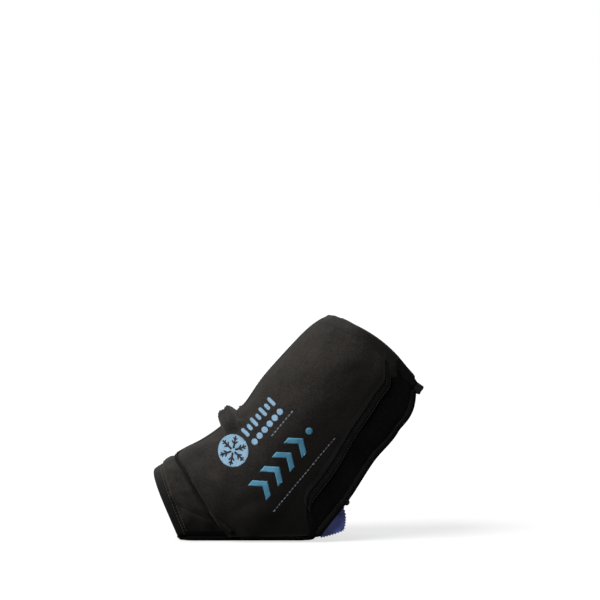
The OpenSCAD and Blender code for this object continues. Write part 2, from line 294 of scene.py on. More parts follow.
def boot_round(s, psi, d):
    """The boot with psi below 0 on the near side."""
    s, psi, d = spread(s, psi, d)
    return np.where((psi < 0)[..., None], boot(s, -psi, d, -1), boot(s, psi, d, 1))


def far_start(s):
    """Where the far panel starts, in degrees of psi: it leaves room for the strap's end."""
    return mix(48, -24, ease((s - 1.2) / 1.0))


def far_depth(s):
    """How deep it lies: under the strap's end at the toes."""
    return FAR_STEP * (1 - ease((s - 1.3) / 0.7))


def far(s, v, d):
    """The far panel: v is 0 at its front edge and 1 at the sole, heel or calf."""
    s, v, d = spread(s, v, d)
    return boot(s, mix(far_start(s), 180, v), d + far_depth(s), 1)


def ridge_at(s):
    """The share of the flap's width at which the ridge runs."""
    s = np.asarray(s, float)
    low = RIDGE_A + RIDGE_LEAN * (1 - ease((s - 5.0) / 2.6)) - RIDGE_HOOK * ease((s - 7.3) / 0.6)
    return mix(0.985, low, ease((s - 3.5) / 0.9))


# ---------------------------------------------------------------- mesh tools


def fractal(points, size, seed=0.0, octaves=3):
    """Smooth noise from -1 to 1 at each point; size is its coarsest feature, in mm."""
    flat = points.reshape(-1, 3)
    out = np.zeros(len(flat))
    shift = Vector((seed * 17.3, seed * 5.1, seed * 9.7))
    for i, p in enumerate(flat):
        q = Vector(p) / size + shift
        value, gain = 0.0, 1.0
        for _ in range(octaves):
            value += gain * noise.noise(q)
            q = q * 2.03
            gain *= 0.5
        out[i] = value
    return out.reshape(points.shape[:-1])


def finish_mesh(name, verts, faces, material, body):
    """A piece from points in mm, riding on a body."""
    mesh = bpy.data.meshes.new(name)
    mesh.from_pydata((np.asarray(verts) * MM).tolist(), [], faces)
    mesh.validate()
    mesh.update()
    mesh.polygons.foreach_set("use_smooth", [True] * len(mesh.polygons))
    mesh.materials.append(material)
    o = bpy.data.objects.new(name, mesh)
    SCENE.collection.objects.link(o)
    if body:
        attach(o, body)
    return o


def declare(o, nodes=()):
    """Hides the CAD nodes that a piece stands for, and returns the piece."""
    if nodes:
        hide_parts(*nodes)
    return o


def edge_spacing(lo, hi, n, rim):
    """n even steps from lo to hi, with finer ones within rim of both ends."""
    inner = np.linspace(lo + rim, hi - rim, n)
    share = np.array([0, 0.04, 0.16, 0.4, 0.7])
    return np.concatenate([lo + rim * share, inner, (hi - rim * share)[::-1]])


def square(s0, s1, n_s, rim_s, a0, a1, n_a, rim_a):
    """A grid of stations and shares; each limit may depend on the other share or station."""
    v, u = np.meshgrid(edge_spacing(0, 1, n_a, rim_a), edge_spacing(0, 1, n_s, rim_s))
    low, high = (end(v) if callable(end) else end for end in (s0, s1))
    s = mix(low, high, u)
    left, right = (end(s) if callable(end) else end for end in (a0, a1))
    return s, mix(left, right, v)


def rim_distance(grid):
    """Distance along the sheet from each point to the nearest edge."""
    best = []
    for axis in (0, 1):
        step = np.linalg.norm(np.diff(grid, axis=axis), axis=-1)
        pad = [(0, 0), (0, 0)]
        pad[axis] = (1, 0)
        run = np.pad(np.cumsum(step, axis=axis), pad)
        best.append(np.minimum(run, np.take(run, [-1], axis=axis) - run))
    return np.minimum(*best)


def round_rim(distance, reach, least=0.0):
    """The share of its thickness that a padded piece has this far from its edge."""
    return np.sqrt(np.clip(1 - (1 - np.minimum(distance / reach, 1)) ** 2, least, 1))


def pillow_faces(nu, nv):
    """Faces of a closed sheet: a top grid, then the inner points of a bottom grid."""
    def low(i, j):
        if i in (0, nu - 1) or j in (0, nv - 1):
            return i * nv + j
        return nu * nv + (i - 1) * (nv - 2) + j - 1
    faces = []
    for i in range(nu - 1):
        for j in range(nv - 1):
            p = i * nv + j
            faces.append((p, p + 1, p + nv + 1, p + nv))
            faces.append((low(i, j), low(i + 1, j), low(i + 1, j + 1), low(i, j + 1)))
    return faces


def pillow(name, fn, s, a, top, under, material, body, lift=None, drop=None, r=None):
    """A padded sheet with round edges, between depths top and under of the surface fn.
    lift and drop take the grid and the distance from the edge, and push the two faces out."""
    half, middle = (under - top) / 2, (under + top) / 2
    core = fn(s, a, middle)
    e = rim_distance(core)
    rim = round_rim(e, r or half)
    up, down = ((half + (push(s, a, core, e) if push else 0)) * rim for push in (lift, drop))
    upper, lower = fn(s, a, middle - up), fn(s, a, middle + down)
    verts = np.concatenate([upper.reshape(-1, 3), lower[1:-1, 1:-1].reshape(-1, 3)])
    return finish_mesh(name, verts, facing_out(verts, pillow_faces(*s.shape)), material, body)


def facing_out(verts, faces):
    """The same faces, all turned to face out."""
    a, b, c, d = (np.asarray(verts)[k] for k in np.asarray(faces).T)
    volume = (a * np.cross(b, c)).sum() + (a * np.cross(c, d)).sum()
    return [tuple(x[::-1]) for x in faces] if volume < 0 else faces


def surface_frame(fn, s, a, d):
    """Point, outward normal and the two directions of a surface."""
    h = 1e-3
    p = fn(s, a, d)
    ds = (fn(s + h, a, d) - fn(s - h, a, d)) / (2 * h)
    da = (fn(s, a + h, d) - fn(s, a - h, d)) / (2 * h)
    n = np.cross(ds, da)
    n /= np.linalg.norm(n, axis=-1, keepdims=True)
    out = fn(s, a, d - 1) - p
    n *= np.sign(np.einsum("...i,...i->...", n, out))[..., None]
    return p, n, ds, da


def unit(v):
    return v / np.maximum(np.linalg.norm(v, axis=-1, keepdims=True), 1e-9)


def tape(name, fn, s, a, towards, depths, width, plump, material, body, nodes=()):
    """A tape folded over an edge of a sheet. It follows the points (s, a) along the edge, and
    towards is the way into the sheet, such as +s or -a."""
    p, n, ds, da = surface_frame(fn, s, a, sum(depths) / 2)
    across = unit(np.cross(n, unit(np.gradient(p, axis=0))))
    inward = (ds if towards[1] == "s" else da) * (1 if towards[0] == "+" else -1)
    across *= np.sign((across * inward).sum(1))[:, None]
    half = (depths[1] - depths[0]) / 2 + plump
    side = [(width, half - plump * 0.9), (width - 0.5, half - plump * 0.25), (width * 0.6, half + 0.25)]
    nose = [(0.6 - half * 0.75 * math.sin(t), half * math.cos(t)) for t in np.linspace(0, math.pi, 9)]
    ring = np.array(side + nose + [(x, -y) for x, y in side[::-1]])
    points = p[:, None] + across[:, None] * ring[:, :1] + n[:, None] * ring[:, 1:]
    m, k = points.shape[:2]
    verts = points.reshape(-1, 3)
    faces = [(i * k + j, i * k + (j + 1) % k, (i + 1) * k + (j + 1) % k, (i + 1) * k + j)
             for i in range(m - 1) for j in range(k)]
    faces = facing_out(verts, faces) + [tuple(range(k))[::-1], tuple(range((m - 1) * k, m * k))]
    return declare(finish_mesh(name, verts, faces, material, body), nodes)


def spaced_points(p, step):
    """Points and directions every step along a line of points, and their shares along it."""
    run = np.concatenate([[0], np.cumsum(np.linalg.norm(np.diff(p, axis=0), axis=1))])
    at = np.arange(step / 2, run[-1], step)
    here, ahead = (np.stack([np.interp(x, run, p[:, k]) for k in range(3)], 1) for x in (at, at + 0.3))
    return here, unit(ahead - here), at / run[-1]


def stitches(name, lines, material, body):
    """Rows of short thread stitches; each line is points and normals."""
    length, pitch, radius, sides = 1.9, 2.7, 0.24, 6
    rings = [(-0.5, 0.35, -0.12), (-0.36, 0.9, 0.1), (0.0, 1.0, 0.2), (0.36, 0.9, 0.1), (0.5, 0.35, -0.12)]
    verts, faces = [], []
    for p, n in lines:
        q, way, share = spaced_points(p, pitch)
        knots = np.linspace(0, 1, len(n))
        up = unit(np.stack([np.interp(share, knots, n[:, k]) for k in range(3)], 1))
        for c, t, u in zip(q, way, up):
            side = np.cross(t, u)
            base = len(verts)
            for x, size, rise in rings:
                for turn in np.arange(sides) * 2 * math.pi / sides:
                    r = radius * size
                    off = side * math.cos(turn) * r + u * (math.sin(turn) * r + rise)
                    verts.append(c + t * x * length + off)
            for i in range(base, base + (len(rings) - 1) * sides, sides):
                for k, k2 in zip(range(sides), [*range(1, sides), 0]):
                    faces.append((i + k, i + k2, i + sides + k2, i + sides + k))
            faces.append(tuple(range(base, base + sides))[::-1])
            faces.append(tuple(range(len(verts) - sides, len(verts))))
    return declare(finish_mesh(name, verts, faces, material, body))


# ---------------------------------------------------------------- materials

DARK_GRAIN, DARK_RIB = 0.27, 0.25      # the darkest grain or rib against the lightest
# Painted shade: some fabrics' colour is darkened towards the heel and the sole, where the light falls off.
PAINTED_SHADE_WAY = (0.69, 0.0, -0.72)          # the way in which painted shade darkens the wrap
PAINTED_SHADE_SPAN = (-0.082, -0.030)             # where the painted shade on the outer fabric starts and stops getting darker
HEM_PAINTED_SHADE_SPAN = (-0.096, -0.054)         # the same for the painted shade on the collar's hem
PAINTED_LOW_SHADE = (0.16, 1.0, 0.010, 0.038)  # painted shade near the floor: the tones low down and above, and the two heights, in metres


class Nodes:
    """A small helper round a material's node tree."""

    def __init__(self, name):
        self.material = bpy.data.materials.new(name)
        self.material.use_nodes = True
        self.tree = self.material.node_tree
        self.place = self.add("ShaderNodeTexCoord", "Object")

    def put(self, socket, value):
        if isinstance(value, bpy.types.NodeSocket):
            self.tree.links.new(value, socket)
        else:
            socket.default_value = value

    def add(self, kind, output, inputs=None, **settings):
        """A new node's output. inputs gives its sockets values or other nodes' outputs."""
        node = self.tree.nodes.new(kind)
        for name, value in settings.items():
            setattr(node, name, value)
        for name, value in (inputs or {}).items():
            self.put(node.inputs[name], value)
        return node.outputs[output]

    def noise(self, scale, detail=3.0, rough=0.6, warp=0.0):
        return self.add("ShaderNodeTexNoise", "Fac", {
            "Scale": scale, "Detail": detail, "Roughness": rough, "Distortion": warp, "Vector": self.place})

    def cells(self, scale, feature="F1"):
        inputs = {"Scale": scale, "Vector": self.place}
        return self.add("ShaderNodeTexVoronoi", "Distance", inputs, feature=feature)

    def ramp(self, value, low, high, a=0.0, b=1.0):
        return self.add("ShaderNodeMapRange", "Result", {
            "Value": value, "From Min": a, "From Max": b, "To Min": low, "To Max": high})

    def maths(self, kind, a, b):
        return self.add("ShaderNodeMath", "Value", {0: a, 1: b}, operation=kind)

    def blend(self, share, a, b):
        inputs = {"Factor": share, "A": (*a, 1), "B": (*b, 1)}
        return self.add("ShaderNodeMix", "Result", inputs, data_type="RGBA")

    def heelward(self):
        """How far a point lies from the shin towards the heel and sole, in metres; it sets the painted
        shade.
        """
        inputs = {0: self.place, 1: PAINTED_SHADE_WAY}
        return self.add("ShaderNodeVectorMath", "Value", inputs, operation="DOT_PRODUCT")

    def height(self):
        return self.add("ShaderNodeSeparateXYZ", "Z", {"Vector": self.place})

    # The colour scaled down by a level: used for painted shade.
    def shaded(self, colour, level):
        return self.add("ShaderNodeVectorMath", "Vector", {0: colour, "Scale": level}, operation="SCALE")

    def bump(self, height, strength, distance, after=None):
        inputs = {"Strength": strength, "Distance": distance, "Height": height}
        if after is not None:
            inputs["Normal"] = after
        return self.add("ShaderNodeBump", "Normal", inputs)

    def finish(self, **values):
        """The material, with the shader's own sockets set or joined up."""
        for name, value in values.items():
            self.put(self.tree.nodes["Principled BSDF"].inputs[name.replace("_", " ")], value)
        return self.material


def brushed_fabric(name, light, gloss=0.10, sheen=0.06, painted_shade=None, span=PAINTED_SHADE_SPAN):
    """Brushed loop fabric: a short nap with fine speckle and slow changes of tone.
    light is its lightest grain. Given a painted shade level, its colour darkens towards the heel and the
    sole to that share."""
    m = Nodes(name)
    fine, speck, slow = m.noise(1500, 2.0, 0.7), m.noise(620, 2.0, 0.75), m.noise(34, 3.0, 0.6)
    tone = m.maths("ADD", m.ramp(fine, -0.20, 0.40, 0.3, 0.7), m.ramp(slow, -0.14, 0.30, 0.3, 0.7))
    tone = m.maths("ADD", tone, m.ramp(speck, -0.22, 0.48, 0.3, 0.7))
    colour = m.blend(m.ramp(tone, 0, 1), [c * DARK_GRAIN for c in light], light)
    # Painted shade: the colour is scaled down towards the heel and towards the floor.
    if painted_shade is not None:
        low = m.ramp(m.height(), *PAINTED_LOW_SHADE)
        colour = m.shaded(colour, m.maths("MULTIPLY", low, m.ramp(m.heelward(), 1.0, painted_shade, *span)))
    pile = m.bump(m.maths("ADD", fine, m.maths("MULTIPLY", speck, 0.6)), 0.5, 0.0006)
    return m.finish(Base_Color=colour, Roughness=m.ramp(fine, 0.85, 1.0),
                    Normal=m.bump(m.noise(210, 2.0, 0.5), 0.2, 0.0012, pile),
                    Sheen_Weight=sheen, Sheen_Roughness=0.5, Sheen_Tint=(0.85, 0.82, 0.78, 1),
                    Specular_IOR_Level=gloss)


def woven_tape(name, light, sheen=0.04, scale=900.0):
    """Narrow tape or binding: crossed ribs."""
    m = Nodes(name)
    ribs = []
    for turn in (0.0, math.pi / 2):
        way = m.add("ShaderNodeMapping", "Vector", {"Rotation": (0.3, 0.6 + turn, 0.2), "Vector": m.place})
        wave = {"Scale": scale / 3, "Distortion": 0.6, "Vector": way}
        ribs.append(m.add("ShaderNodeTexWave", "Fac", wave))
    weave = m.maths("MULTIPLY", *ribs)
    tone = m.maths("ADD", m.ramp(weave, 0, 0.5), m.ramp(m.noise(90, 3), -0.1, 0.5, 0.3, 0.7))
    return m.finish(Base_Color=m.blend(m.ramp(tone, 0, 1), [c * DARK_RIB for c in light], light),
                    Normal=m.bump(weave, 0.5, 0.0004), Roughness=0.86, Sheen_Weight=sheen,
                    Sheen_Roughness=0.5, Specular_IOR_Level=0.10)


def thread(name, colour):
    m = Nodes(name)
    twist = m.noise(2600, 2.0)
    return m.finish(Base_Color=m.blend(twist, [c * 0.6 for c in colour], colour),
                    Normal=m.bump(twist, 0.4, 0.0002), Roughness=0.7, Sheen_Weight=0.05,
                    Specular_IOR_Level=0.15)


def print_ink(name, colour, worn):
    """Heat-pressed print: the fabric's nap shows through it a little."""
    m = Nodes(name)
    fine = m.noise(1500, 2.0, 0.7)
    patches = m.noise(160, 3.0, 0.7)
    wear = m.maths("ADD", m.ramp(fine, -0.3, 0.55, 0.35, 0.7), m.ramp(patches, -0.2, 0.35, 0.35, 0.7))
    return m.finish(Base_Color=m.blend(m.ramp(wear, 0, 1), colour, worn),
                    Normal=m.bump(fine, 0.35, 0.0005), Roughness=0.62, Specular_IOR_Level=0.3)


def pack_vinyl(name):
    """Blue vinyl film over gel: soft gloss, creases and cloudy depth."""
    m = Nodes(name)
    cloud = m.ramp(m.noise(55, 4.0, 0.6, 0.6), 0, 1, 0.35, 0.68)
    crumple = m.bump(m.noise(120, 4.0, 0.55, 1.2), 0.6, 0.0018)
    return m.finish(Base_Color=m.blend(cloud, (0.018, 0.028, 0.150), (0.055, 0.085, 0.340)),
                    Roughness=m.ramp(m.noise(140, 3.0), 0.22, 0.46),
                    Normal=m.bump(m.noise(2400, 1.0), 0.08, 0.0003, crumple),
                    Specular_IOR_Level=0.45, Coat_Weight=0.15, Coat_Roughness=0.25)


def hook_tape(name):
    m = Nodes(name)
    dots = m.cells(900)
    colour = m.blend(m.ramp(dots, 0, 1, 0.1, 0.6), (0.018, 0.018, 0.020), (0.005, 0.005, 0.006))
    return m.finish(Base_Color=colour, Normal=m.bump(dots, 0.7, 0.0006), Roughness=0.42,
                    Specular_IOR_Level=0.5)


def loop_tape(name):
    m = Nodes(name)
    curls = m.cells(1300, "SMOOTH_F1")
    colour = m.blend(m.ramp(curls, 0, 1, 0.05, 0.5), (0.026, 0.026, 0.030), (0.007, 0.007, 0.008))
    return m.finish(Base_Color=colour, Normal=m.bump(curls, 0.8, 0.0006), Roughness=0.9, Sheen_Weight=0.45,
                    Sheen_Roughness=0.4, Specular_IOR_Level=0.2)


def label_satin(name):
    m = Nodes(name)
    fine = m.noise(1800, 1.0)
    return m.finish(Base_Color=m.blend(fine, (0.30, 0.30, 0.29), (0.46, 0.46, 0.45)),
                    Normal=m.bump(fine, 0.2, 0.0002), Roughness=0.5, Sheen_Weight=0.2)


def materials():
    warm = (0.0190, 0.0166, 0.0150)
    return {
        # outer, strap, hem, front_hem and far get painted shade towards the heel and the sole.
        "outer": brushed_fabric("outer_fabric", warm, painted_shade=0.19),
        "strap": brushed_fabric("strap_fabric", warm, painted_shade=0.34),
        # The ridge fabric is near black: dark fabric darkened further as painted shade, where the ridge
        # falls in shade.
        "ridge": brushed_fabric("ridge_painted_shade_fabric", (0.0036, 0.0035, 0.0035), 0.05, 0.03),
        # The crease fabric is dark as painted shade in the crease along the flap's diagonal edge.
        "crease": brushed_fabric("crease_painted_shade_fabric", (0.0085, 0.0078, 0.0072), 0.04, 0.02),
        "rear": brushed_fabric("rear_fabric", (0.0024, 0.0024, 0.0027), 0.02, 0.005),
        "lining": brushed_fabric("lining", (0.0110, 0.0110, 0.0125), 0.05, 0.04),
        "hem": brushed_fabric("hem_fabric", (0.0200, 0.0192, 0.0182), painted_shade=0.14, span=HEM_PAINTED_SHADE_SPAN),
        "rear_hem": brushed_fabric("rear_hem_fabric", (0.0042, 0.0042, 0.0047), 0.03, 0.01),
        "front_hem": brushed_fabric("front_hem_fabric", (0.0098, 0.0102, 0.0112), painted_shade=0.5),
        "far": brushed_fabric("far_fabric", warm, painted_shade=0.6),
        "far_hem": brushed_fabric("far_hem_fabric", (0.0180, 0.0172, 0.0165)),
        "tape": woven_tape("binding_tape", (0.0100, 0.0100, 0.0112)),
        "web": woven_tape("webbing", (0.0055, 0.0055, 0.0062), 0.02, 600),
        "thread": thread("thread", (0.0066, 0.0064, 0.0062)),
        "thread_dark": thread("thread_dark", (0.0040, 0.0040, 0.0046)),
        "thread_tan": thread("thread_tan", (0.050, 0.038, 0.027)),
        "pale": print_ink("print_pale", (0.104, 0.184, 0.262), (0.044, 0.086, 0.130)),
        "blue": print_ink("print_blue", (0.042, 0.154, 0.242), (0.017, 0.064, 0.104)),
        "grey": print_ink("print_grey", (0.060, 0.074, 0.084), (0.020, 0.026, 0.030)),
        "vinyl": pack_vinyl("pack_vinyl"),
        "hook": hook_tape("hook_tape"),
        "loop": loop_tape("loop_tape"),
        "label": label_satin("label_satin"),
    }


# ---------------------------------------------------------------- flat outlines


def inside(points, loops):
    """Even-odd test of [x, z] points against closed outlines."""
    hit = np.zeros(len(points), bool)
    for loop in loops:
        for (x0, z0), (x1, z1) in zip(loop, np.roll(loop, -1, 0)):
            if z0 == z1:
                continue
            crosses = (z0 > points[:, 1]) != (z1 > points[:, 1])
            x = x0 + (points[:, 1] - z0) / (z1 - z0) * (x1 - x0)
            hit ^= crosses & (points[:, 0] < x)
    return hit


def round_corners(outline, r, n=5):
    """An outline with its corners cut to curves that start r from each corner."""
    p = np.asarray(outline, float)
    out = []
    for before, corner, after in zip(np.roll(p, 1, 0), p, np.roll(p, -1, 0)):
        a = corner + unit(before - corner) * min(r, 0.45 * np.linalg.norm(before - corner))
        b = corner + unit(after - corner) * min(r, 0.45 * np.linalg.norm(after - corner))
        for k in np.linspace(0, 1, n):
            out.append(a * (1 - k) ** 2 + 2 * corner * k * (1 - k) + b * k * k)
    return np.array(out)


def finer(loop, step):
    """The same closed outline with points no more than step apart."""
    out = []
    for p, q in zip(loop, np.roll(loop, -1, 0)):
        n = max(1, math.ceil(np.linalg.norm(q - p) / step))
        out += [p + (q - p) * i / n for i in range(n)]
    return np.array(out)


def near_line(points, line):
    """Distance of each [x, z] point to an open line, the side it is on and its share along."""
    line = np.asarray(line, float)
    best = np.full(points.shape[:-1], 1e9)
    side, share = np.zeros_like(best), np.zeros_like(best)
    steps = np.linalg.norm(np.diff(line, axis=0), axis=1)
    start = np.concatenate([[0], np.cumsum(steps)])
    for i, (p, q) in enumerate(zip(line[:-1], line[1:])):
        way = q - p
        k = np.clip((points - p) @ way / max(way @ way, 1e-9), 0, 1)
        off = points - p - k[..., None] * way
        dist = np.linalg.norm(off, axis=-1)
        nearer = dist < best
        best = np.where(nearer, dist, best)
        side = np.where(nearer, np.sign(way[0] * off[..., 1] - way[1] * off[..., 0]), side)
        share = np.where(nearer, (start[i] + k * steps[i]) / start[-1], share)
    return best, side, share


def edge_distance(points, loops):
    """Distance of each point to the nearest of some closed outlines."""
    return np.min([near_line(points, np.vstack([loop, loop[:1]]))[0] for loop in loops], axis=0)


def fill(loops, step):
    """Points and triangles that fill closed outlines; the outline's own points come first."""
    loops = [finer(np.asarray(loop, float), step) for loop in loops]
    rim = np.concatenate(loops)
    low, high = rim.min(0), rim.max(0)
    gx, gz = np.meshgrid(np.arange(low[0], high[0], step), np.arange(low[1], high[1], step * 0.87))
    gx[1::2] += step / 2
    inner = np.stack([gx.ravel(), gz.ravel()], 1)
    inner = inner[inside(inner, loops)]
    inner = inner[edge_distance(inner, loops) > step * 0.45]
    points = np.concatenate([rim, inner])
    edges, start = [], 0
    for loop in loops:
        n = len(loop)
        edges += [(start + i, start + (i + 1) % n) for i in range(n)]
        start += n
    found = delaunay_2d_cdt([Vector(q) for q in points.tolist()], edges, [], 0, 1e-6)
    flat = np.array([list(v) for v in found[0]])
    tris = np.array([f for f in found[2] if len(f) == 3])
    tris = tris[inside(flat[tris].mean(1), loops)]
    a, b, c = (flat[tris[:, k]] for k in range(3))
    turn = (b - a)[:, 0] * (c - a)[:, 1] - (b - a)[:, 1] * (c - a)[:, 0]
    tris[turn < 0] = tris[turn < 0][:, ::-1]
    return flat, tris, edge_distance(flat, loops)


def rim_edges(tris):
    """The triangles' outer edges, in order of turn."""
    pairs = np.concatenate([tris[:, [0, 1]], tris[:, [1, 2]], tris[:, [2, 0]]])
    seen = {tuple(e) for e in pairs.tolist()}
    return [e for e in seen if (e[1], e[0]) not in seen]


def closed_plate(tris, front, back):
    """A closed solid between two copies of one triangulation; front faces -Y, or up."""
    n = len(front)
    faces = [tuple(f) for f in tris.tolist()] + [tuple(n + k for k in f[::-1]) for f in tris.tolist()]
    faces += [(b, a, n + a, n + b) for a, b in rim_edges(tris)]
    return np.concatenate([front, back]), faces


def upright(flat, y):
    """Flat points [x, z] at the depth y."""
    return np.stack([flat[:, 0], np.broadcast_to(y, len(flat)), flat[:, 1]], 1)


# ---------------------------------------------------------------- folds in the fabric


def fold(points, line, depth, width, lip=0.5):
    """A soft crease along a line of [x, z], with a raised lip on its upper side."""
    dist, side, share = near_line(points[..., [0, 2]], line)
    ends = np.sin(math.pi * np.clip(share, 0.03, 0.97)) ** 0.6
    groove = -depth * bell(dist / width)
    raised = lip * depth * bell((dist - 2.2 * width) / (1.6 * width)) * (side > 0)
    return (groove + raised) * ends


SIM_MM = 100.0           # millimetres to one unit of the simulation
SIM_FRAMES = 30
SIM_SLOW = 60            # rounds of smoothing that find the slow swell, which is taken off again


def sim_steps(n):
    """Every second row of a grid, leaving out the close rows beside its edges."""
    return np.array([0, *range(5, n - 5, 2), n - 1])


def smoothed(field, times):
    """The field after each point is drawn so many times to its neighbours' mean."""
    out = field.copy()
    for _ in range(times):
        wide = np.pad(out, 1, mode="edge")
        out = (wide[:-2, 1:-1] + wide[2:, 1:-1] + wide[1:-1, :-2] + wide[1:-1, 2:]) / 4
    return out


def buckled(fn, s, a, spare, most, seed, bend=1.5):
    """Cloth simulation: a sheet cut too large by the share spare and sewn down all round.
    Returns how far it stands out at each point of the grid, within most, in mm."""
    rows, cols = sim_steps(s.shape[0]), sim_steps(s.shape[1])
    take = np.ix_(rows, cols)
    p, n, _, _ = surface_frame(fn, s[take], a[take], 0.0)
    start = p + n * (0.4 * fractal(p, 18, seed, 3))[..., None]
    nu, nv = len(rows), len(cols)
    faces = [(i * nv + j, i * nv + j + 1, (i + 1) * nv + j + 1, (i + 1) * nv + j)
             for i in range(nu - 1) for j in range(nv - 1)]
    mesh = bpy.data.meshes.new("cloth")
    mesh.from_pydata((start.reshape(-1, 3) / SIM_MM).tolist(), [], faces)
    mesh.update()
    o = bpy.data.objects.new("cloth", mesh)
    SCENE.collection.objects.link(o)
    rim = [i * nv + j for i in range(nu) for j in range(nv) if i in (0, nu - 1) or j in (0, nv - 1)]
    o.vertex_groups.new(name="sewn").add(rim, 1.0, "REPLACE")
    m = o.modifiers.new("cloth", "CLOTH")
    m.point_cache.frame_end = SIM_FRAMES
    m.settings.quality = 6
    m.settings.vertex_group_mass = "sewn"
    m.settings.bending_stiffness = bend
    m.settings.air_damping = 3
    m.settings.shrink_min = -spare
    m.settings.effector_weights.gravity = 0
    for i in range(1, SIM_FRAMES + 1):
        SCENE.frame_set(i)
    done = o.evaluated_get(bpy.context.evaluated_depsgraph_get()).to_mesh()
    moved = np.array([v.co[:] for v in done.vertices]).reshape(nu, nv, 3) * SIM_MM - p
    out = (moved * n).sum(-1)
    bpy.data.objects.remove(o)
    SCENE.frame_set(1)
    out = smoothed(out, 2) - smoothed(out, SIM_SLOW)
    out = most * np.tanh(out / most)
    part = np.stack([np.interp(np.arange(s.shape[0]), rows, column) for column in out.T], 1)
    return np.stack([np.interp(np.arange(s.shape[1]), cols, row) for row in part])


def with_folds(lift, field):
    """A lift that adds a simulated field to another, fading towards the edges."""
    return lambda s, a, core, e: lift(s, a, core, e) + field * ease(e / 5)


def knob(x, power=2.6):
    """A blunt bump from -1 to 1."""
    return np.clip(1 - np.abs(x) ** power, 0, 1) ** 0.5


DOME = 8.0               # how far the filled pocket stands out at the middle of the panel
EDGE_ROLL = 2.2          # how far the panel rolls up behind its diagonal edge
SHOULDER = 1.8           # how much thinner the panel is over the instep, beside the strap
BOTTOM_TUCK = 4.3        # how far the panel is drawn in along the sole
TUCK_TOP = 27.0          # the height where that starts

# Creases in the printed panel as lines of [x, z], with depth and width.
PANEL_CREASES = [
    ([[-81, 60], [-70, 49], [-63, 43]], 1.3, 2.2),
    ([[-86, 72], [-74, 54], [-60, 38], [-46, 24]], 0.9, 3.2),
    ([[-40, 112], [-41, 99], [-43, 87]], 3.4, 1.7),
    ([[-42, 92], [-32, 82], [-24, 70]], 1.3, 3.0),
    ([[-47, 86], [-42, 74], [-40, 62]], 0.9, 3.2),
    ([[-50, 20], [-36, 32], [-20, 36]], 0.7, 4.5),
    ([[-18, 14], [0, 26], [14, 44]], 0.8, 5.0),
    ([[22, 120], [40, 140], [62, 146]], 0.7, 5.0),
    ([[-6, 120], [10, 128], [26, 130]], 0.6, 5.0),
]


def pleats(s, a):
    """Two puckers at the bend of the instep, in mm of height."""
    big = 11.2 * knob((s - 3.33) / 0.37) * knob(a / 0.19, 2.0)
    small = 3.6 * knob((s - 3.76) / 0.17, 2.0) * knob(a / 0.15, 2.0)
    dimple = -1.8 * bell((s - 3.36) / 0.10) * knob(a / 0.15, 2.0)
    return np.maximum(big, small) + dimple * (big > 0)


def tuck(core):
    """How far the panel's lower part is drawn in towards the sole's edge."""
    return BOTTOM_TUCK * ease((TUCK_TOP - core[..., 2]) / TUCK_TOP) ** 1.2


def panel_lift(s, a, core, e):
    """How far the printed panel stands out: the filled pocket, slow waves, creases and pleats."""
    k = a / ridge_at(s)
    away = ease(e / 14)
    out = DOME * ease((k - 0.2) / 0.4) * ease((1.02 - k) / 0.5)
    out = out * ease((s - 1) / 1.6) * ease((LAST - s) / 1.2)
    out = out - SHOULDER * (1 - ease((s - diagonal_at(a)) / 0.45)) * (1 - ease((k - 0.22) / 0.2))
    out = out + EDGE_ROLL * bell((s - diagonal_at(a) - 0.42) / 0.28) * ease((k - 0.2) / 0.2)
    out = out + 0.5 * ease(e / 10) + 0.7 * away * fractal(core, 46, 1.0, 3) - tuck(core)
    out = out + 0.3 * away * fractal(core, 14, 2.0, 2)
    return out + sum(fold(core, *crease) for crease in PANEL_CREASES) + pleats(s, a)


def ridge_lift(s, a, core, e):
    """Two rolls with a sewn valley between them, and small puckers along the rows."""
    k = (a - ridge_at(s)) / 0.042
    rolls = 1.5 * bell((k + 0.42) / 0.30) + 0.7 * bell((k - 0.42) / 0.30)
    return rolls + 0.35 * ease(e / 2) * fractal(core, 8, 5.0, 2)


def soft_lift(amount, size, seed, crown=0.35, reach=9):
    """Slow unevenness of a padded piece, with a crown, in mm."""
    def lift(s, a, core, e):
        return ease(e / reach) * (crown * amount + amount * fractal(core, size, seed, 3))
    return lift


# ---------------------------------------------------------------- side flap

DIAGONAL_BOW = 0.20      # how far the diagonal edge bows towards the toes, in stations
DIAGONAL_LEAD = 0.21     # how much further it reaches over the instep


def diagonal_at(a):
    """The station of the panel's diagonal front edge."""
    return 1 - DIAGONAL_BOW * 4 * a * (1 - a) - DIAGONAL_LEAD * (1 - ease(a / 0.34))


